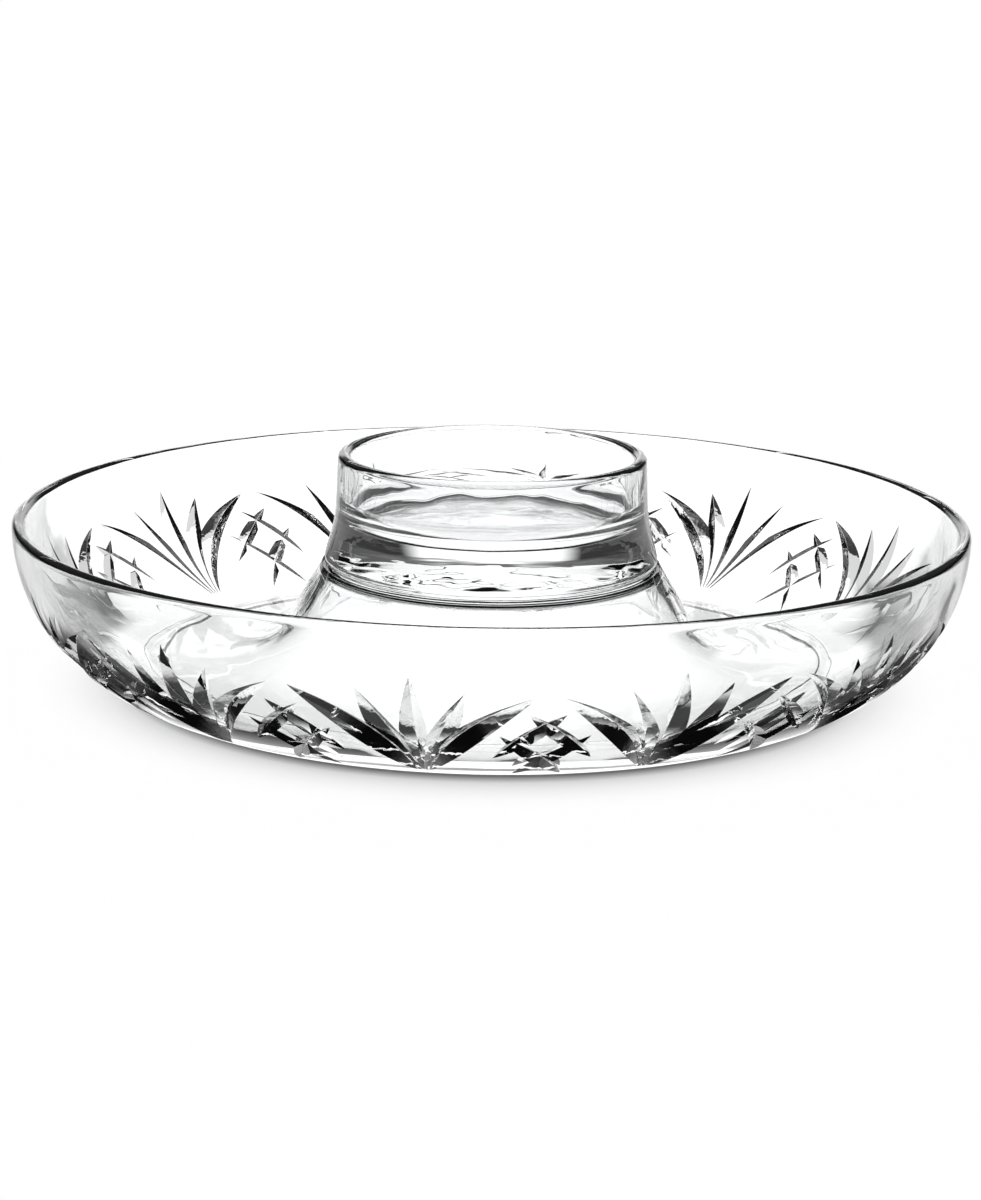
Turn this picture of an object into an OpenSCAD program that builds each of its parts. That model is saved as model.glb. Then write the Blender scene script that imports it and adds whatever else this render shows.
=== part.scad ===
// Chip and dip server in clear cut glass.
// A round tray holds the chips in a ring-shaped channel. Its hollow pedestal carries a
// separate dip bowl, whose rounded foot drops into a dished seat and lifts straight out.
// Frame: +Z up, origin at the centre of the foot ring on the table. Turns are counted
// from the front (-Y) towards +X.

/* [Tray] */
// Diameter across the rim
tray_d = 305; // [285:1:360]
// Height of the rim above the table
tray_h = 53.5; // [48:0.5:66]
// How far the wall leans out between the foot ring and the rim
wall_run = 39.5; // [34:0.5:44]
// Thickness of the wall at its rounded rim
rim_t = 4; // [3.5:0.25:5]
// How much tighter the wall's inner arc is than a parallel one, which thickens its foot
wall_swell = 2; // [0:0.25:3]
// Thickness of the floor over the foot ring
floor_t = 5; // [4.5:0.25:7]
// Radius that leads the floor into the wall
floor_round = 20; // [14:0.5:24]
// Width of the foot ring that stands on the table
foot_ring_w = 6; // [4:0.5:10]
// Depth of the underside inside the foot ring
foot_recess = 1.2; // [0.5:0.1:2]

/* [Pedestal] */
// Height of the bowl's seat above the table
seat_h = 36.5; // [32:0.1:44]
// Slope of the pedestal's side, from upright
side_slope = 30; // [24:1:36]
// Radius that blends the pedestal into the floor
floor_blend = 28; // [12:1:30]
// Thickness of the pedestal's side
side_t = 4.5; // [3.5:0.25:6]
// Thickness of the plate under the seat
seat_t = 2.8; // [2.4:0.2:5]
// Radius inside the top of the hollow
hollow_round = 2.4; // [1:0.2:5]
// How far the lip around the seat stands proud of the bowl's foot
lip_proud = 0.8; // [0.6:0.1:2]
// How far the lip rises above the seat
lip_rise = 1.4; // [1:0.1:2]
// Radius of the lip's outer edge
lip_round = 1.2; // [0.6:0.1:1.4]

/* [Dip bowl] */
// Diameter across the bowl's rim
bowl_d = 99; // [90:0.5:104]
// Height of the bowl, foot to rim
bowl_h = 36.8; // [34:0.5:60]
// Thickness of the bowl's wall at its rounded rim
bowl_rim_t = 4.2; // [3:0.1:6]
// Diameter of the crease where the upright wall meets the thick base
crease_d = 100.4; // [98:0.2:104]
// Height of that crease above the foot
crease_h = 15.5; // [13:0.1:20]
// Thickness of the glass under the bowl's floor
bowl_floor_t = 12.2; // [8:0.1:15]
// Radius between the inside wall and the bowl's floor
bowl_corner = 11; // [5:0.5:14]
// Diameter across the foot
bowl_foot_d = 107.2; // [104:0.2:112]
// Radius of the foot's rounded edge
foot_round = 3; // [2.5:0.25:5]
// Width of the ring that the bowl stands on
stand_w = 5; // [3:0.5:10]
// Depth of the underside inside that ring
stand_recess = 0.8; // [0.4:0.1:1.5]
// Clearance between the foot's edge and the seat
seat_gap = 0.35; // [0.2:0.05:0.6]

/* [Cut pattern] */
// Fans around the wall, each with a crosshatch beside it
fans = 12; // [9:1:14]
// Turn of the first fan from the front
first_turn = -8.5; // [-15:0.5:15]
// Height of the point where a fan's blades meet
fan_root_h = 3.8; // [3:0.1:6]
// Plain band between the rim and the tip of the longest blade
plain_band = 14.5; // [12:0.5:20]
// Depth of the fan blades
blade_cut = 2.9; // [1.2:0.1:3.1]
// Depth of the crosshatch strokes
hatch_cut = 2; // [0.8:0.1:2.4]
// Included angle of the mitre wheel that cuts the V
mitre_angle = 108; // [96:2:130]

/* [Hidden] */
$fa = 3;
$fs = 0.6;
glass = [0.86, 0.9, 0.91, 0.55];

tray_r = tray_d / 2;
rim_z = tray_h - rim_t / 2;
// The outer wall is one arc that rises from the foot ring and ends upright at the rim
wall_curve = (wall_run * wall_run + rim_z * rim_z) / (2 * wall_run);
wall_axis = tray_r - wall_curve;
// The inner wall is a slightly tighter arc, also upright at the rim
inner_axis = wall_axis + wall_swell;
inner_curve = tray_r - rim_t - inner_axis;
ring_inner_r = tray_r - wall_run - foot_ring_w;

bowl_r = bowl_d / 2;
crease_r = crease_d / 2;
bowl_foot_r = bowl_foot_d / 2;
bowl_inner_r = bowl_r - bowl_rim_t;
bowl_rim_z = bowl_h - bowl_rim_t / 2;

// Where the pedestal's straight side meets the lip's rounded edge
side_r = bowl_foot_r + lip_proud;
side_h = seat_h + lip_rise - lip_round + lip_round * sin(side_slope);
hollow_h = seat_h - seat_t;

// Bands of the cut pattern, as shares of the height between root and longest tip
band_h = tray_h - plain_band - fan_root_h;
side_tip = 0.87;
arch_tip = 0.84;
arch_mid = 0.52;
hatch_outer = [0.67, 0.21];
hatch_inner = [0.46, -0.03];
// Turns away from a fan's or a crosshatch's own line, as shares of the pitch
pitch = 360 / fans;
side_turn = 0.2;
side_root_turn = 0.012;
arch_turn = 0.465;
arch_mid_turn = 0.243;
arch_root_turn = 0.03;
hatch_outer_turn = [-0.07, 0.2];
hatch_inner_turn = [-0.175, 0.11];
// How far the wheel stands out of the wall, and how far its arc runs past a cut's ends
wheel_rise = 5;
wheel_over = 2.5;

// Height inside the pattern's band
function band(share) = fan_root_h + share * band_h;

// Lean of the wall's outward direction below level, at a height
function wall_lean(h) = asin((rim_z - h) / wall_curve);

// Point on the outer wall, sunk by a depth
function skin(turn, h, depth = 0) =
    let (lean = wall_lean(h), reach = wall_curve - depth, r = wall_axis + reach * cos(lean))
    [r * sin(turn), -r * cos(turn), rim_z - reach * sin(lean)];

// Outward direction of the outer wall
function outward(turn, h) =
    let (lean = wall_lean(h))
    [cos(lean) * sin(turn), -cos(lean) * cos(turn), -sin(lean)];

// Centre of the circle through three points
function circle_centre(a, b, c) =
    let (u = a - c, v = b - c, w = cross(u, v))
    c + cross((u * u) * v - (v * v) * u, w) / (2 * (w * w));

// Angle between two directions
function between(u, v) = acos(u * v / (norm(u) * norm(v)));

// Straight side of a cone, drawn inwards from a point on it as a closed wedge
module under_slope(r, h, drop) {
    polygon([[0, h], [r, h], [r + drop * tan(side_slope), h - drop], [0, h - drop]]);
}

// Material that rounds the corner between the pedestal's side and a level below it
module blend_corner(r, h, radius) {
    reach = radius * tan((90 - side_slope) / 2);
    difference() {
        polygon([
            [r, h],
            [r - reach * sin(side_slope), h + reach * cos(side_slope)],
            [r + reach, h]
        ]);
        translate([r + reach, h + radius]) circle(r = radius);
    }
}

// Dish in section: outer wall arc, inner wall arc with the fillet at its foot, rounded rim
module dish_section() {
    // The fillet touches both the floor and the inner wall arc
    fillet_z = floor_t + floor_round;
    reach = inner_curve - floor_round;
    fillet_r = inner_axis + sqrt(reach * reach - (rim_z - fillet_z) * (rim_z - fillet_z));
    touch = asin((rim_z - fillet_z) / reach);
    difference() {
        union() {
            square([wall_axis, rim_z]);
            intersection() {
                translate([wall_axis, rim_z]) circle(r = wall_curve);
                square([tray_r, rim_z]);
            }
        }
        // Above the point where both arcs touch, the hollow reaches the wall's arc
        intersection() {
            translate([inner_axis, rim_z]) circle(r = inner_curve);
            translate([0, rim_z - inner_curve * sin(touch)]) square([tray_r, tray_h]);
        }
        translate([fillet_r, fillet_z]) circle(r = floor_round);
        translate([0, floor_t]) square([fillet_r, tray_h]);
    }
    translate([tray_r - rim_t / 2, rim_z]) circle(d = rim_t);
}

// Pedestal in section, solid from the axis out to its side
module pedestal_section() {
    lip_axis = side_r - lip_round * cos(side_slope);
    lip_z = side_h - lip_round * sin(side_slope);
    under_slope(side_r, side_h, side_h - floor_t / 2);
    square([lip_axis, lip_z + lip_round]);
    translate([lip_axis, lip_z]) circle(r = lip_round);
    blend_corner(side_r + (side_h - floor_t) * tan(side_slope), floor_t, floor_blend);
}

// Hollow under the pedestal in section, a wall's thickness inside it
module hollow_section() {
    mouth_r = side_r + (side_h - foot_recess) * tan(side_slope) - side_t / cos(side_slope);
    top_r = mouth_r - (hollow_h - foot_recess) * tan(side_slope);
    // Length of the rounded top corner, along each of its two sides
    reach = hollow_round / tan((90 + side_slope) / 2);
    square([ring_inner_r, foot_recess]);
    polygon([
        [0, 0],
        [mouth_r, 0],
        [mouth_r, foot_recess],
        [top_r + reach * sin(side_slope), hollow_h - reach * cos(side_slope)],
        [top_r - reach, hollow_h],
        [0, hollow_h]
    ]);
    translate([top_r - reach, hollow_h - hollow_round]) circle(r = hollow_round);
    blend_corner(mouth_r, foot_recess, floor_blend + side_t);
}

// Seat in section: the bowl's foot with its clearance all round
module seat_section() {
    translate([0, seat_h]) square([bowl_foot_r - foot_round, foot_round]);
    intersection() {
        translate([bowl_foot_r - foot_round, seat_h + foot_round]) circle(r = foot_round + seat_gap);
        translate([0, seat_h]) square([bowl_foot_r + seat_gap, foot_round]);
    }
}

// One V cut by a mitre wheel: its bottom runs on an arc from one end, through the
// deepest point, to the other end, and it opens towards the way out of the wall
module mitre_cut(from, deepest, to, way_out) {
    centre = circle_centre(from, to, deepest);
    radius = norm(deepest - centre);
    x_dir = (deepest - centre) / radius;
    plane = cross(from - deepest, to - deepest);
    z_dir = plane / norm(plane);
    y_dir = cross(z_dir, x_dir);
    tilt = atan2(way_out * z_dir, way_out * x_dir);
    half = mitre_angle / 2;
    slant = wheel_rise / cos(half);
    reach = max(between(from - centre, x_dir), between(to - centre, x_dir)) + wheel_over;
    multmatrix([
        [x_dir.x, y_dir.x, z_dir.x, centre.x],
        [x_dir.y, y_dir.y, z_dir.y, centre.y],
        [x_dir.z, y_dir.z, z_dir.z, centre.z]
    ])
        rotate(-reach) rotate_extrude(angle = 2 * reach)
            polygon([
                [radius, 0],
                [radius + slant * cos(tilt - half), slant * sin(tilt - half)],
                [radius + slant * cos(tilt + half), slant * sin(tilt + half)]
            ]);
}

// A cut laid on the wall between two points given as [turn, height], bowed through a third
module wall_cut(from, middle, to, depth) {
    mitre_cut(skin(from[0], from[1]), skin(middle[0], middle[1], depth), skin(to[0], to[1]),
        outward(middle[0], middle[1]));
}

// Straight blade of a fan: 0 is the middle one, -1 and 1 lean to either side of it
module blade(way) {
    root = [way * side_root_turn * pitch, fan_root_h];
    tip = [way * side_turn * pitch, band(way == 0 ? 1 : side_tip)];
    wall_cut(root, (root + tip) / 2, tip, blade_cut);
}

// Outer blade of a fan, which arches over the crosshatch on its side
module arch(way) {
    wall_cut([way * arch_root_turn * pitch, fan_root_h], [way * arch_mid_turn * pitch, band(arch_mid)],
        [way * arch_turn * pitch, band(arch_tip)], blade_cut);
}

// Stroke of a crosshatch: the outer or the inner one of the two that lean one way
module stroke(way, turns, shares) {
    from = [(0.5 + way * turns[0]) * pitch, band(shares[0])];
    to = [(0.5 + way * turns[1]) * pitch, band(shares[1])];
    wall_cut(from, (from + to) / 2, to, hatch_cut);
}

// The nine cuts of one repeat, by number
module cut(n) {
    way = n % 2 == 0 ? 1 : -1;
    if (n < 2) stroke(way, hatch_outer_turn, hatch_outer);
    else if (n < 4) stroke(way, hatch_inner_turn, hatch_inner);
    else if (n < 6) arch(way);
    else if (n < 8) blade(way);
    else blade(0);
}

// The glass with cuts 0 to n made all round it, each cut in its own turn of the wheel
module engraved(n) {
    if (n < 0) children();
    else difference() {
        engraved(n - 1) children();
        for (i = [0 : fans - 1]) rotate(first_turn + i * pitch) cut(n);
    }
}

// Tray with its channel and pedestal, before the wall is cut
module tray_blank() {
    difference() {
        union() {
            rotate_extrude() dish_section();
            rotate_extrude() pedestal_section();
        }
        rotate_extrude() hollow_section();
        rotate_extrude() seat_section();
    }
}

// Tray with its cut outer wall
module chip_tray() {
    color(glass) engraved(8) tray_blank();
}

// Bowl in section, standing on its own foot
module bowl_section() {
    edge = [bowl_foot_r - foot_round, foot_round];
    crease = [crease_r, crease_h];
    run = crease - edge;
    // The flank leaves the foot's rounded edge without a corner
    touch = atan2(run[1], run[0]) - acos(foot_round / norm(run));
    difference() {
        union() {
            translate(edge) circle(r = foot_round);
            polygon([
                [0, 0],
                [edge[0], 0],
                edge,
                edge + foot_round * [cos(touch), sin(touch)],
                crease,
                [bowl_r, bowl_rim_z],
                [0, bowl_rim_z]
            ]);
        }
        translate([0, bowl_floor_t + bowl_corner]) square([bowl_inner_r, bowl_h]);
        translate([0, bowl_floor_t]) square([bowl_inner_r - bowl_corner, bowl_h]);
        translate([bowl_inner_r - bowl_corner, bowl_floor_t + bowl_corner]) circle(r = bowl_corner);
        translate([0, -1]) square([edge[0] - stand_w, stand_recess + 1]);
    }
    translate([bowl_r - bowl_rim_t / 2, bowl_rim_z]) circle(d = bowl_rim_t);
}

// Dip bowl on its seat
module dip_bowl() {
    color(glass) translate([0, 0, seat_h]) rotate_extrude() bowl_section();
}

chip_tray();
dip_bowl();
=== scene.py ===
import math

import bmesh
import bpy
from mathutils import Matrix, Vector, noise


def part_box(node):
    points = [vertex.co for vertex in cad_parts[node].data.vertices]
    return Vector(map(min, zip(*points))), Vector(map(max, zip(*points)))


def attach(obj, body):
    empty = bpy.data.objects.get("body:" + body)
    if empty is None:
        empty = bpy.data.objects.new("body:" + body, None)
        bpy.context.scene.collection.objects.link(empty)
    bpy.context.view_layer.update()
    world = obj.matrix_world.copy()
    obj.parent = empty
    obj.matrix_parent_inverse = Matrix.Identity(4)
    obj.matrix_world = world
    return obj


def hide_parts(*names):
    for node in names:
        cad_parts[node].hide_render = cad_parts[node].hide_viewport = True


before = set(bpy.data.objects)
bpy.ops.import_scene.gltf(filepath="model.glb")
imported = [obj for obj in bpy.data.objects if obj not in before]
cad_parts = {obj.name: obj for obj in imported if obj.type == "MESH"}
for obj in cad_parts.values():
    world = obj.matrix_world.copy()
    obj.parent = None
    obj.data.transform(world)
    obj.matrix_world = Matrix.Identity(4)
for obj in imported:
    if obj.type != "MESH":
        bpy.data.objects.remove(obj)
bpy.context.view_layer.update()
mm = 0.001

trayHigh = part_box("chip_tray")[1]
bowlLow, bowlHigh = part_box("dip_bowl")


# outlines are lists of (radius, height) in millimetres, and rounds are made of short chords
chord = {
    "plain": 1.2,
    "wall": 0.9,
    "corner": 0.6,
    "foot": 0.5,
    "rim": 0.35,
    "lip": 0.2,
    "edge": 0.15,
    "same": 0.02,             # points nearer than this are one
    "fewest": 3,              # chords in any round
}


def arc(centre, radius, fromAngle, toAngle, step=chord["plain"]):
    count = max(chord["fewest"], math.ceil(abs(math.radians(toAngle - fromAngle)) * radius / step))
    angles = [math.radians(fromAngle + (toAngle - fromAngle) * i / count) for i in range(count + 1)]
    return [(centre[0] + radius * math.cos(a), centre[1] + radius * math.sin(a)) for a in angles]


def joined(*runs, step):
    # one outline from several runs of points, with long straight stretches divided up
    outline = []
    for point in [p for run in runs for p in run]:
        if outline:
            last = outline[-1]
            length = math.dist(last, point)
            if length < chord["same"]:
                continue
            for i in range(1, math.ceil(length / step)):
                share = i * step / length
                outline.append((last[0] + (point[0] - last[0]) * share,
                                last[1] + (point[1] - last[1]) * share))
        outline.append(point)
    return outline


def angleOf(centre, point):
    return math.degrees(math.atan2(point[1] - centre[1], point[0] - centre[0]))


def crossing(centreA, radiusA, centreB, radiusB):
    # where two circles cross: the point on the right of the way from A to B
    reach = Vector(centreB) - Vector(centreA)
    along = (reach.length_squared + radiusA ** 2 - radiusB ** 2) / (2 * reach.length)
    across = math.sqrt(radiusA ** 2 - along ** 2)
    way = reach.normalized()
    return Vector(centreA) + way * along + Vector((way.y, -way.x)) * across


def latheMesh(name, outline, turns):
    # the outline starts and ends on the axis
    mesh = bpy.data.meshes.new(name)
    build = bmesh.new()
    poles = [build.verts.new((0, 0, outline[end][1] * mm)) for end in (0, -1)]
    rings = []
    for radius, height in outline[1:-1]:
        rings.append([build.verts.new((radius * mm * math.cos(2 * math.pi * i / turns),
                                       radius * mm * math.sin(2 * math.pi * i / turns),
                                       height * mm)) for i in range(turns)])
    for i in range(turns):
        j = (i + 1) % turns
        build.faces.new((poles[0], rings[0][i], rings[0][j]))
        build.faces.new((poles[1], rings[-1][j], rings[-1][i]))
        for a, b in zip(rings, rings[1:]):
            build.faces.new((a[i], b[i], b[j], a[j]))
    bmesh.ops.recalc_face_normals(build, faces=build.faces)
    build.to_mesh(mesh)
    build.free()
    return mesh


def addPiece(name, mesh):
    piece = bpy.data.objects.new(name, mesh)
    bpy.context.scene.collection.objects.link(piece)
    return piece


tray = {
    "rimThickness": 4.0,
    "wallRun": 39.5,          # lean of the wall between foot ring and rim
    "swell": 2.0,             # how much tighter the inner arc is, which thickens the foot
    "floor": 5.0,
    "floorRound": 20.0,       # between the floor and the wall
    "footRing": 6.0,
    "footRecess": 1.2,
    "edgeRound": 0.5,         # softened edges of the foot ring
    "edgeStop": 1.2,          # degrees of the wall's arc that the softened edge takes
    "edgeFrom": -30.0,        # and where its own arc starts
    "slope": 30.0,            # pedestal's side, from upright
    "blend": 28.0,
    "side": 4.5,
    "seatPlate": 2.8,
    "hollowRound": 2.4,
    "lip": 0.8,               # how far the lip stands proud of the bowl's foot
    "lipRise": 1.4,
    "lipRound": 1.2,
    "seatGap": 0.35,
    "straight": 1.6,          # longest stretch between two rings of points
    "turns": 360,
    "sharpAngle": 16.0,
    "ripple": 0.045,          # unevenness left by the press
    "rippleSize": 14.0,
}
tray["radius"] = trayHigh[0] / mm
tray["height"] = trayHigh[2] / mm

bowl = {
    "footRadius": 53.6,
    "rimThickness": 4.2,
    "creaseRadius": 50.2,
    "creaseHeight": 15.5,     # above the seat
    "creaseRound": 5.0,
    "creaseSteps": 8,
    "rimRadius": 49.5,
    "floorThickness": 12.2,
    "corner": 11.0,
    "footRound": 3.0,
    "stand": 5.0,
    "standEdge": 1.0,         # width of the slope between stand and recess
    "standRecess": 0.8,
    "air": 0.25,              # thin layer of air left between foot and seat
    "straight": 1.2,
    "turns": 360,
    "sharpAngle": 16.0,
    "ripple": 0.06,
    "rippleSize": 11.0,
}
bowl["seat"] = bowlLow[2] / mm
bowl["top"] = bowlHigh[2] / mm
bowl["crease"] = bowl["seat"] + bowl["creaseHeight"]
bowl["floor"] = bowl["seat"] + bowl["floorThickness"]

# the outer wall is one arc that ends upright at the rim
rimCentre = tray["height"] - tray["rimThickness"] / 2
wallCurve = (tray["wallRun"] ** 2 + rimCentre ** 2) / (2 * tray["wallRun"])
wallAxis = tray["radius"] - wallCurve


def seatOutline(lipCentre):
    # dished seat for the bowl's rounded foot, and the lip round it
    footCentre = (bowl["footRadius"] - bowl["footRound"], bowl["seat"] + bowl["footRound"])
    seatRound = bowl["footRound"] + tray["seatGap"]
    edge = crossing(lipCentre, tray["lipRound"], footCentre, seatRound)
    if edge.x > lipCentre[0]:
        edge = crossing(footCentre, seatRound, lipCentre, tray["lipRound"])
    seatFrom = -90 + math.degrees(math.acos(bowl["footRound"] / seatRound))
    seat = arc(footCentre, seatRound, seatFrom, angleOf(footCentre, edge), chord["foot"])
    lip = arc(lipCentre, tray["lipRound"], angleOf(lipCentre, edge), tray["slope"], chord["lip"])
    return [(0, bowl["seat"])] + seat + lip


def wallOutline():
    # the inner wall follows the outer one, and a fillet leads it into the floor
    innerAxis = wallAxis + tray["swell"]
    innerCurve = tray["radius"] - tray["rimThickness"] - innerAxis
    fillet = tray["floorRound"]
    drop = rimCentre - tray["floor"] - fillet
    run = math.sqrt((innerCurve - fillet) ** 2 - drop ** 2)
    turn = -math.degrees(math.atan2(drop, run))
    rimRound = tray["rimThickness"] / 2
    footLean = math.degrees(math.asin(rimCentre / wallCurve))
    return (arc((innerAxis + run, tray["floor"] + fillet), fillet, -90, turn)
            + arc((innerAxis, rimCentre), innerCurve, turn, 0)
            + arc((tray["radius"] - rimRound, rimCentre), rimRound, 180, 0, chord["rim"])
            + arc((wallAxis, rimCentre), wallCurve, 0, tray["edgeStop"] - footLean, chord["wall"]))


def trayOutline():
    slope = math.radians(tray["slope"])
    tan, cos = math.tan(slope), math.cos(slope)
    lipOut = bowl["footRadius"] + tray["lip"]
    lipCentre = (lipOut - tray["lipRound"] * cos, bowl["seat"] + tray["lipRise"] - tray["lipRound"])
    lipLow = lipCentre[1] + tray["lipRound"] * math.sin(slope)

    # pedestal's side, blended into the floor
    blend = tray["blend"]
    cornerRadius = lipOut + (lipLow - tray["floor"]) * tan
    reach = math.tan((math.pi / 2 - slope) / 2)
    upperBlend = arc((cornerRadius + blend * reach, tray["floor"] + blend), blend, 180 + tray["slope"], 270)

    # foot ring with softened edges, and the recess inside it
    soft, recess = tray["edgeRound"], tray["footRecess"]
    ringOuter = tray["radius"] - tray["wallRun"]
    ringInner = ringOuter - tray["footRing"]
    ring = (arc((ringOuter - soft, soft), soft, tray["edgeFrom"], -90, chord["edge"])
            + arc((ringInner + soft, soft), soft, -90, -180, chord["edge"])
            + arc((ringInner - soft, recess - soft), soft, 0, 90, chord["edge"]))

    # hollow under the pedestal
    under = blend + tray["side"]
    mouth = lipOut + (lipLow - recess) * tan - tray["side"] / cos
    hollowTop = bowl["seat"] - tray["seatPlate"]
    top = mouth - (hollowTop - recess) * tan
    roundReach = tray["hollowRound"] / math.tan((math.pi / 2 + slope) / 2)
    hollow = (arc((mouth + under * reach, recess + under), under, 270, 180 + tray["slope"])
              + arc((top - roundReach, hollowTop - tray["hollowRound"]), tray["hollowRound"],
                    tray["slope"], 90, chord["corner"]))
    return joined(seatOutline(lipCentre), upperBlend, wallOutline(), ring, hollow, [(0, hollowTop)],
                  step=tray["straight"])


def bowlOutline():
    seat, footRound = bowl["seat"], bowl["footRound"]
    edge = (bowl["footRadius"] - footRound, seat + footRound)
    crease = (bowl["creaseRadius"], bowl["crease"])
    run = (crease[0] - edge[0], crease[1] - edge[1])
    touch = angleOf(edge, crease) - math.degrees(math.acos(footRound / math.hypot(*run)))
    standInner = edge[0] - bowl["stand"]
    recess = seat + bowl["standRecess"]
    lift = math.degrees(math.asin(1 - bowl["air"] / footRound))
    foot = ([(0, recess), (standInner - bowl["standEdge"], recess), (standInner, seat + bowl["air"])]
            + arc(edge, footRound, -lift, touch, chord["foot"]))

    # the crease is a soft bend between the flank and the upright wall
    rimRound = bowl["rimThickness"] / 2
    rimHeight = bowl["top"] - rimRound
    flank = Vector((foot[-1][0] - crease[0], foot[-1][1] - crease[1])).normalized()
    upright = Vector((bowl["rimRadius"] - crease[0], rimHeight - crease[1])).normalized()
    bend = []
    for i in range(bowl["creaseSteps"] + 1):
        share = i / bowl["creaseSteps"]
        a = flank * bowl["creaseRound"] * (1 - share) ** 2
        b = upright * bowl["creaseRound"] * share ** 2
        bend.append((crease[0] + a.x + b.x, crease[1] + a.y + b.y))

    rim = arc((bowl["rimRadius"] - rimRound, rimHeight), rimRound, 0, 180, chord["rim"])
    well = bowl["rimRadius"] - bowl["rimThickness"]
    corner = arc((well - bowl["corner"], bowl["floor"] + bowl["corner"]), bowl["corner"], 0, -90,
                 chord["corner"])
    return joined(foot, bend, rim, corner, [(0, bowl["floor"])], step=bowl["straight"])


# the pattern is made of V cuts of a mitre wheel in the outer wall. A cut's points are
# (turn, height), where turns are shares of the pitch and heights are shares of the band
cuts = {
    "fans": 12,
    "firstTurn": -8.5,
    "root": 3.8,              # height where the blades of a fan meet
    "plainBand": 14.5,
    "blade": 2.9,             # depths
    "hatch": 2.0,
    "middleTip": 1.0,
    "sideRoot": 0.012,
    "sideTip": (0.2, 0.87),
    "archRoot": 0.03,
    "archMiddle": (0.243, 0.52),
    "archTip": (0.465, 0.84),
    "outerStroke": ((-0.07, 0.67), (0.2, 0.21)),
    "innerStroke": ((-0.175, 0.46), (0.11, -0.03)),
    "mitre": 108.0,           # included angle of the V
    "nose": 0.12,             # roundness of the wheel's edge
    "noseSteps": 4,
    "rise": 4.6,
    "over": 2.5,              # degrees that the wheel runs on past a cut's ends
    "step": 0.5,
    "chatter": 0.015,         # waviness that the wheel leaves in both flanks
    "chatterLength": 3.0,
    "chatterRows": (0, 9),    # rows of the noise, one for each direction of the shake
    "markLow": 2.0,           # heights between which faces count as flanks of cuts
    "markHigh": 45.0,
    "markSkin": 0.04,         # least depth of a flank, and how far below a blade it may lie
    "markOver": 0.4,
}
pitch = 360 / cuts["fans"]


def band(share):
    return cuts["root"] + share * (tray["height"] - cuts["plainBand"] - cuts["root"])


def wallLean(height):
    return math.asin((rimCentre - height) / wallCurve)


def wallPoint(turn, height, depth=0):
    lean, turn = wallLean(height), math.radians(turn)
    radius = wallAxis + (wallCurve - depth) * math.cos(lean)
    return Vector((radius * math.sin(turn), -radius * math.cos(turn),
                   rimCentre - (wallCurve - depth) * math.sin(lean)))


def wallOutward(turn, height):
    lean, turn = wallLean(height), math.radians(turn)
    return Vector((math.cos(lean) * math.sin(turn), -math.cos(lean) * math.cos(turn), -math.sin(lean)))


def wheelSection(tilt):
    # V with a small rounded edge tangent to both flanks, as (out, aside) from the wheel's path
    half = math.radians(cuts["mitre"] / 2)
    nose = cuts["nose"]
    slant = cuts["rise"] / math.cos(half)
    section = [(slant * math.cos(tilt - half), slant * math.sin(tilt - half))]
    for i in range(cuts["noseSteps"] + 1):
        angle = (math.pi / 2 - half) * (1 - 2 * i / cuts["noseSteps"])
        along = nose / math.sin(half) - nose * math.cos(angle)
        across = -nose * math.sin(angle)
        section.append((along * math.cos(tilt) - across * math.sin(tilt),
                        along * math.sin(tilt) + across * math.cos(tilt)))
    section.append((slant * math.cos(tilt + half), slant * math.sin(tilt + half)))
    return section


def addWheel(build, start, middle, end, depth, spin):
    # one V cutter, whose edge runs on the arc through both ends and the deepest point
    start, middle, end = [(turn + spin, height) for turn, height in (start, middle, end)]
    a, b, c = wallPoint(*start), wallPoint(*end), wallPoint(*middle, depth)
    u, v = a - c, b - c
    w = u.cross(v)
    centre = c + (u.dot(u) * v - v.dot(v) * u).cross(w) / (2 * w.dot(w))
    radius = (c - centre).length
    outAxis = (c - centre) / radius
    sideAxis = w.normalized()
    alongAxis = sideAxis.cross(outAxis)
    outward = wallOutward(*middle)
    section = wheelSection(math.atan2(outward.dot(sideAxis), outward.dot(outAxis)))
    sweep = max(outAxis.angle(a - centre), outAxis.angle(b - centre)) + math.radians(cuts["over"])
    steps = math.ceil(2 * sweep * radius / cuts["step"])
    rings = []
    for i in range(steps + 1):
        angle = sweep * (2 * i / steps - 1)
        out = outAxis * math.cos(angle) + alongAxis * math.sin(angle)
        place = angle * radius / cuts["chatterLength"]
        shake = [noise.noise(Vector((place, start[0], row))) * cuts["chatter"]
                 for row in cuts["chatterRows"]]
        rings.append([build.verts.new(
            (centre + out * (radius + x + shake[0]) + sideAxis * (z + shake[1])) * mm) for x, z in section])
    count = len(section)
    for one, two in zip(rings, rings[1:]):
        for i in range(count):
            j = (i + 1) % count
            build.faces.new((one[i], one[j], two[j], two[i]))
    build.faces.new(rings[0][::-1])
    build.faces.new(rings[-1])


def between(start, end):
    return (start[0] + end[0]) / 2, (start[1] + end[1]) / 2


def bladeCut(way):
    turn, tip = cuts["sideTip"]
    start = (way * cuts["sideRoot"] * pitch, cuts["root"])
    end = (way * turn * pitch, band(tip if way else cuts["middleTip"]))
    return start, between(start, end), end, cuts["blade"]


def archCut(way):
    start = (way * cuts["archRoot"] * pitch, cuts["root"])
    middle, end = [(way * turn * pitch, band(share))
                   for turn, share in (cuts["archMiddle"], cuts["archTip"])]
    return start, middle, end, cuts["blade"]


def strokeCut(way, stroke):
    # crosshatches stand half a pitch beside the fans
    start, end = [((0.5 + way * turn) * pitch, band(share)) for turn, share in stroke]
    return start, between(start, end), end, cuts["hatch"]


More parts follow.
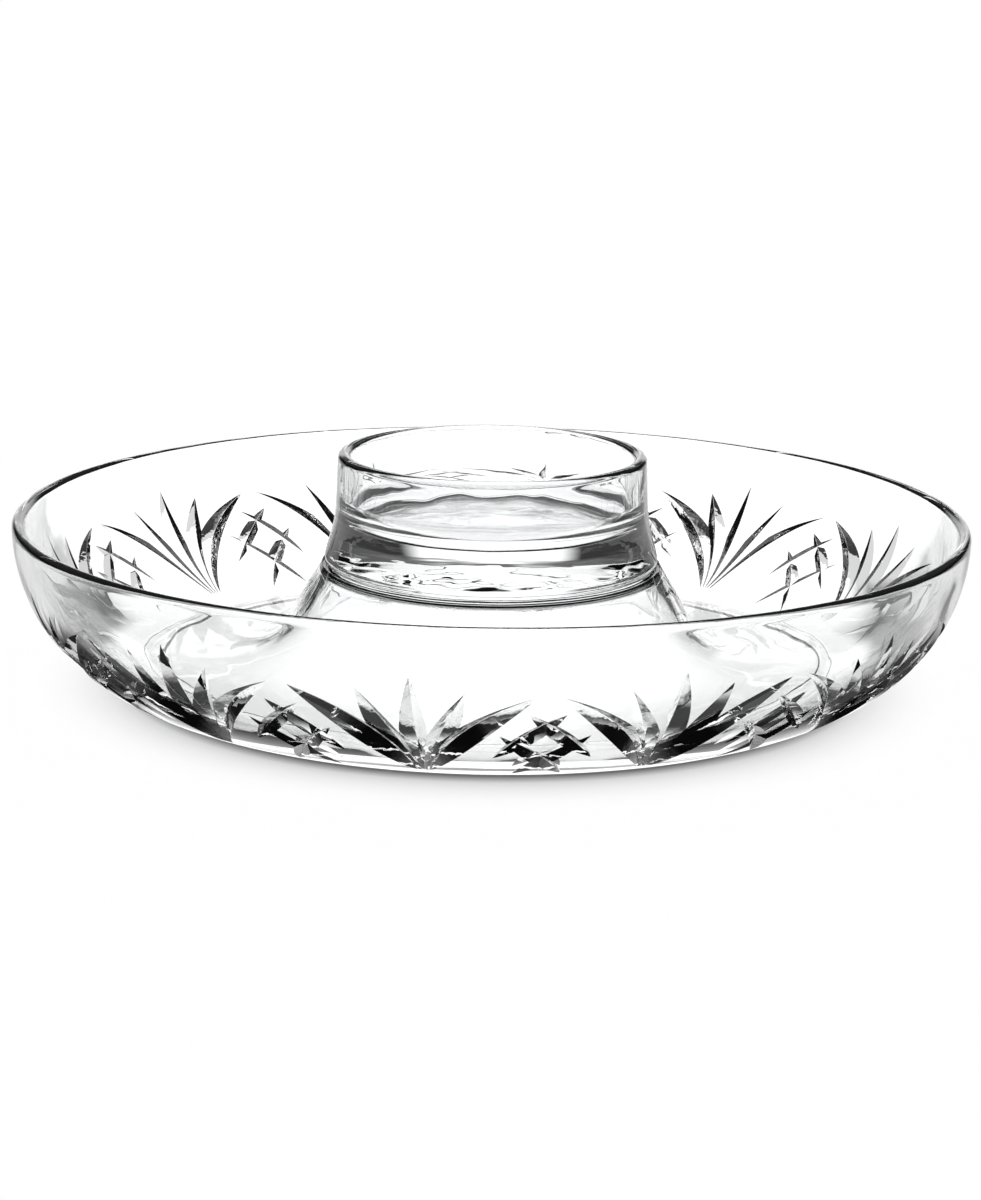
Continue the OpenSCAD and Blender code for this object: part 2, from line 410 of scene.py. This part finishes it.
def allCuts():
    for way in (1, -1):
        yield strokeCut(way, cuts["outerStroke"])
        yield strokeCut(way, cuts["innerStroke"])
    for way in (1, -1):
        yield archCut(way)
        yield bladeCut(way)
    yield bladeCut(0)


def engrave(piece):
    # one kind of cut at a time, all round the tray
    for cut in allCuts():
        build = bmesh.new()
        for i in range(cuts["fans"]):
            addWheel(build, *cut, cuts["firstTurn"] + i * pitch)
        bmesh.ops.recalc_face_normals(build, faces=build.faces)
        wheelMesh = bpy.data.meshes.new("wheels")
        build.to_mesh(wheelMesh)
        build.free()
        wheels = addPiece("wheels", wheelMesh)
        knife = piece.modifiers.new("cut", "BOOLEAN")
        knife.operation = "DIFFERENCE"
        knife.solver = "MANIFOLD"
        knife.object = wheels
        depsgraph = bpy.context.evaluated_depsgraph_get()
        result = bpy.data.meshes.new_from_object(piece.evaluated_get(depsgraph))
        result.materials.clear()
        piece.modifiers.clear()
        piece.data = result
        bpy.data.objects.remove(wheels)
        print("cut made, faces:", len(result.polygons))


def markCuts(mesh):
    # the flanks of the cuts take the second material
    marks = []
    for face in mesh.polygons:
        x, y, z = face.center / mm
        run = math.hypot(x, y) - wallAxis
        sunk = wallCurve - math.hypot(run, z - rimCentre)
        flank = (run > 0 and cuts["markLow"] < z < cuts["markHigh"]
                 and cuts["markSkin"] < sunk < cuts["blade"] + cuts["markOver"])
        marks.append(1 if flank else 0)
    mesh.polygons.foreach_set("material_index", marks)
    print("faces in cuts:", sum(marks))


def finished(piece, sizes):
    # slight waves of pressed and fire-polished glass along each point's normal, then smooth shading
    mesh = piece.data
    finer, finerShare = 2.3, 0.4
    normals = [v.normal.copy() for v in mesh.vertices]
    for vertex, normal in zip(mesh.vertices, normals):
        place = vertex.co / (sizes["rippleSize"] * mm)
        wave = noise.noise(place) + finerShare * noise.noise(place * finer)
        vertex.co += normal * (wave * sizes["ripple"] * mm)
    mesh.polygons.foreach_set("use_smooth", [True] * len(mesh.polygons))
    mesh.set_sharp_from_angle(angle=math.radians(sizes["sharpAngle"]))
    print(piece.name, "faces:", len(mesh.polygons))


trayPiece = addPiece("tray_glass", latheMesh("tray_glass", trayOutline(), tray["turns"]))
engrave(trayPiece)
markCuts(trayPiece.data)
finished(trayPiece, tray)

bowlPiece = addPiece("bowl_glass", latheMesh("bowl_glass", bowlOutline(), bowl["turns"]))
finished(bowlPiece, bowl)


class Value:
    # a socket that takes part in sums
    def __init__(self, recipe, socket):
        self.recipe, self.socket = recipe, socket

    def __add__(self, other):
        return self.recipe.maths("ADD", self, other)

    __radd__ = __add__

    def __sub__(self, other):
        return self.recipe.maths("SUBTRACT", self, other)

    def __rsub__(self, other):
        return self.recipe.maths("SUBTRACT", other, self)

    def __mul__(self, other):
        return self.recipe.maths("MULTIPLY", self, other)

    __rmul__ = __mul__


class Node:
    def __init__(self, recipe, made):
        self.recipe, self.made = recipe, made

    def value(self, name=0):
        return Value(self.recipe, self.made.outputs[name])


class Recipe:
    # the nodes of one material or world
    def __init__(self, tree):
        self.tree = tree
        self.tree.nodes.clear()

    def node(self, kind, settings=None, inputs=None):
        made = self.tree.nodes.new(kind)
        for name, setting in (settings or {}).items():
            if name == "stops":
                ramp = made.color_ramp
                while len(ramp.elements) < len(setting):
                    ramp.elements.new(0.5)
                for element, (place, shade) in zip(ramp.elements, setting):
                    element.position = place
                    element.color = (shade, shade, shade, 1)
            else:
                setattr(made, name, setting)
        for name, given in (inputs or {}).items():
            if isinstance(given, Value):
                self.tree.links.new(given.socket, made.inputs[name])
            else:
                made.inputs[name].default_value = given
        return Node(self, made)

    def maths(self, operation, first, second):
        return self.node("ShaderNodeMath", {"operation": operation}, {0: first, 1: second}).value()

    def larger(self, first, second):
        return self.maths("MAXIMUM", first, second)

    def smoothStep(self, amount, start, end):
        return self.node("ShaderNodeMapRange", {"interpolation_type": "SMOOTHSTEP"}, {
            "Value": amount, "From Min": start, "From Max": end}).value()

    def mix(self, share, first, second):
        return self.node("ShaderNodeMixShader", {}, {0: share, 1: first.value(), 2: second.value()})

    def raysInGlass(self, path):
        # 1 for what is seen in or through the glass
        return self.maths("MINIMUM", path.value("Is Glossy Ray") + path.value("Is Transmission Ray"), 1.0)


def newMaterial(name):
    material = bpy.data.materials.new(name)
    material.use_nodes = True
    return material, Recipe(material.node_tree)


glass = {
    "tint": (0.985, 0.99, 0.992, 1),
    "ior": 1.54,
    "roughness": 0.004,
    "handling": 0.02,                # extra roughness where it has been handled
    "smudgeScale": 38.0,
    "smudgeDetail": 3.0,
    "smudgeEdges": (0.52, 0.72),
    "ripple": (55.0, 0.00004),       # scale and height of the pressed and polished faces
    "cutRipple": (230.0, 0.00022),   # and of the wheel-cut flanks
    "rippleDetail": 2.0,
    "lampShadow": (0.93, 0.935, 0.94, 1),
}


def glassMaterial(name, rippleScale, rippleHeight):
    material, recipe = newMaterial(name)
    place = recipe.node("ShaderNodeTexCoord").value("Object")
    smudge = recipe.node("ShaderNodeTexNoise", {}, {
        "Vector": place, "Scale": glass["smudgeScale"], "Detail": glass["smudgeDetail"]}).value(0)
    plain, smudged = glass["smudgeEdges"]
    smudges = recipe.node("ShaderNodeValToRGB", {"stops": [(plain, 0), (smudged, 1)]}, {0: smudge}).value(0)
    ripple = recipe.node("ShaderNodeTexNoise", {}, {
        "Vector": place, "Scale": rippleScale, "Detail": glass["rippleDetail"]}).value(0)
    bump = recipe.node("ShaderNodeBump", {}, {"Strength": 1.0, "Distance": rippleHeight, "Height": ripple})
    body = recipe.node("ShaderNodeBsdfPrincipled", {}, {
        "Base Color": glass["tint"], "Roughness": smudges * glass["handling"] + glass["roughness"],
        "IOR": glass["ior"], "Transmission Weight": 1.0, "Normal": bump.value()})
    # lamps shine through it, so that its shadow stays light
    lamps = recipe.node("ShaderNodeBsdfTransparent", {}, {"Color": glass["lampShadow"]})
    shadow = recipe.node("ShaderNodeLightPath").value("Is Shadow Ray")
    surface = recipe.mix(shadow, body, lamps)
    recipe.node("ShaderNodeOutputMaterial", {}, {"Surface": surface.value()})
    return material


trayPiece.data.materials.append(glassMaterial("tray_crystal", *glass["ripple"]))
trayPiece.data.materials.append(glassMaterial("cut_crystal", *glass["cutRipple"]))
bowlPiece.data.materials.append(glassMaterial("bowl_crystal", *glass["ripple"]))
print("glass materials made")

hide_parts("chip_tray")
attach(trayPiece, "tray")
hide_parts("dip_bowl")
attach(bowlPiece, "bowl")
print("tray and bowl ride on their bodies")

table = {
    "radius": 3.0,
    "sides": 96,
    "drop": 0.0004,           # keeps it just under the foot ring
    "shade": 0.8,
    "white": (0.9, 1.0),      # share of plain white in what the camera sees of it, near and far
    "whiteEdge": (0.2, 0.4),
    # painted contact shadow: the table's brightness beside the foot, by radius in metres
    "paintedContactShadow": [(0.100, 0.02), (0.1135, 0.05), (0.1165, 0.3), (0.12, 0.64), (0.1235, 0.75),
                (0.1275, 0.84), (0.133, 0.92), (0.138, 0.97), (0.146, 1.0)],
    "paintedGlow": 1.3,              # painted light: the lit part of the table as the glass shows it
    "paintedGloom": 0.05,            # and the painted shade outside it
    "litFront": -0.115,       # the painted lit part starts here and widens backwards as a parabola
    "litSpread": 9.0,
    "litEdge": (-0.02, 0.035),
    "underEdge": (0.136, 0.122),     # under the tray the painted light goes all round, up to these radii
    "beyondEdge": (0.153, 0.178),    # and a weaker painted light comes again outside a painted dark ring
    "beyond": 0.6,
}


def buildTable():
    mesh = bpy.data.meshes.new("floor")
    build = bmesh.new()
    bmesh.ops.create_circle(build, cap_ends=True, segments=table["sides"], radius=table["radius"])
    build.to_mesh(mesh)
    build.free()
    piece = addPiece("floor", mesh)
    piece.location.z = -table["drop"]
    material, recipe = newMaterial("white_table")
    place = recipe.node("ShaderNodeTexCoord").value("Object")
    split = recipe.node("ShaderNodeSeparateXYZ", {}, {0: place})
    across = split.value("X")
    flat = recipe.node("ShaderNodeVectorMath", {"operation": "MULTIPLY"}, {0: place, 1: (1, 1, 0)}).value()
    radius = recipe.node("ShaderNodeVectorMath", {"operation": "LENGTH"}, {0: flat}).value("Value")

    # what the glass shows: a painted pool of light on the table, with painted shade round it
    inside = split.value("Y") - table["litFront"] - across * across * table["litSpread"]
    behind, under, beyond = [recipe.smoothStep(amount, *table[edge]) for amount, edge in (
        (inside, "litEdge"), (radius, "underEdge"), (radius, "beyondEdge"))]
    paintedLitShare = recipe.larger(recipe.larger(behind, under), beyond * table["beyond"])
    paintedPool = paintedLitShare * (table["paintedGlow"] - table["paintedGloom"]) + table["paintedGloom"]

    # what the camera sees, with a painted shadow where the foot meets the table
    reach = table["paintedContactShadow"][-1][0]
    stops = [(r / reach, shade) for r, shade in table["paintedContactShadow"]]
    paintedContactShadow = recipe.node("ShaderNodeValToRGB", {"stops": stops}, {0: radius * (1 / reach)}).value()
    white = recipe.node("ShaderNodeMapRange", {}, {
        "Value": radius, "From Min": table["whiteEdge"][0], "From Max": table["whiteEdge"][1],
        "To Min": table["white"][0], "To Max": table["white"][1]}).value()

    path = recipe.node("ShaderNodeLightPath")
    camera, inGlass = path.value("Is Camera Ray"), recipe.raysInGlass(path)
    matt = recipe.node("ShaderNodeBsdfDiffuse", {}, {"Color": (table["shade"],) * 3 + (1,)})
    # this emission paints the contact shadow for the camera and the pool of light and shade for the glass
    paintedGlow = recipe.node("ShaderNodeEmission", {}, {"Color": camera * paintedContactShadow + inGlass * paintedPool})
    surface = recipe.mix(camera * white + inGlass, matt, paintedGlow)
    recipe.node("ShaderNodeOutputMaterial", {}, {"Surface": surface.value()})
    mesh.materials.append(material)


studio = {
    "backdrop": 1.3,
    "backdropSpread": 0.36,          # half its width over its distance
    "backdropEdge": (-0.1, 0.08),
    "backdropAround": 0.03,          # how bright the rest of the backdrop is, as a share of its white
    "backdropTop": (0.29, 0.21),     # its height, as a share of its distance
    "surroundings": 0.12,            # above the backdrop
    "ambient": 0.6,
    "lampPower": 14.0,
    "lampSize": 0.9,
    "lampPlace": (0, 0.2, 1.3),
}


def buildWorld():
    world = bpy.data.worlds.new("studio")
    bpy.context.scene.world = world
    world.use_nodes = True
    recipe = Recipe(world.node_tree)
    direction = recipe.node("ShaderNodeTexCoord").value("Generated")
    # the glass sees a low backdrop, white behind the table and nearly black all round,
    # and dark grey above it
    split = recipe.node("ShaderNodeSeparateXYZ", {}, {0: direction})
    aside = recipe.node("ShaderNodeMath", {"operation": "ABSOLUTE"}, {0: split.value("X")}).value()
    sides = recipe.smoothStep(split.value("Y") * studio["backdropSpread"] - aside, *studio["backdropEdge"])
    below = recipe.smoothStep(split.value("Z"), *studio["backdropTop"])
    low = recipe.larger(sides, studio["backdropAround"]) * studio["backdrop"]
    patch = low * below + (1 - below) * studio["surroundings"]
    path = recipe.node("ShaderNodeLightPath")
    camera = path.value("Is Camera Ray")
    ambient = recipe.node("ShaderNodeBackground", {}, {"Color": camera + (1 - camera) * studio["ambient"]})
    seen = recipe.node("ShaderNodeBackground", {}, {"Color": patch})
    surface = recipe.mix(recipe.raysInGlass(path), ambient, seen)
    recipe.node("ShaderNodeOutputWorld", {}, {"Surface": surface.value()})


def addSoftbox():
    lamp = bpy.data.lights.new("top_softbox", "AREA")
    lamp.shape = "RECTANGLE"
    lamp.size = lamp.size_y = studio["lampSize"]
    lamp.energy = studio["lampPower"]
    holder = bpy.data.objects.new("top_softbox", lamp)
    bpy.context.scene.collection.objects.link(holder)
    holder.location = studio["lampPlace"]
    holder.visible_transmission = False
    holder.rotation_euler = (Vector() - holder.location).to_track_quat("-Z", "Y").to_euler()


view = {
    "elevation": 13.134,
    "distance": 1.0,
    "aimHeight": 0.035,
    "dip": 0.584,             # degrees that the camera looks below its aim, and leans
    "roll": 0.861,
    "lens": 113.76,
    "sensor": 36.0,
    "clipEnd": 50,
}


def buildCamera():
    lens = bpy.data.cameras.new("camera")
    lens.sensor_fit = "HORIZONTAL"
    lens.sensor_width = view["sensor"]
    lens.lens = view["lens"]
    lens.clip_end = view["clipEnd"]
    camera = bpy.data.objects.new("camera", lens)
    bpy.context.scene.collection.objects.link(camera)
    lift = math.radians(view["elevation"])
    camera.location = (0, -view["distance"] * math.cos(lift),
                       view["aimHeight"] + view["distance"] * math.sin(lift))
    camera.rotation_euler = (Matrix.Rotation(math.radians(90 - view["elevation"] - view["dip"]), 3, "X")
                             @ Matrix.Rotation(math.radians(view["roll"]), 3, "Z")).to_euler()
    bpy.context.scene.camera = camera


buildTable()
buildWorld()
addSoftbox()
buildCamera()
print("table, light and camera ready")

scene = bpy.context.scene
scene.view_settings.view_transform = "Standard"
bounces = 24                  # many, because light crosses several walls of glass
scene.cycles.max_bounces = scene.cycles.transmission_bounces = bounces
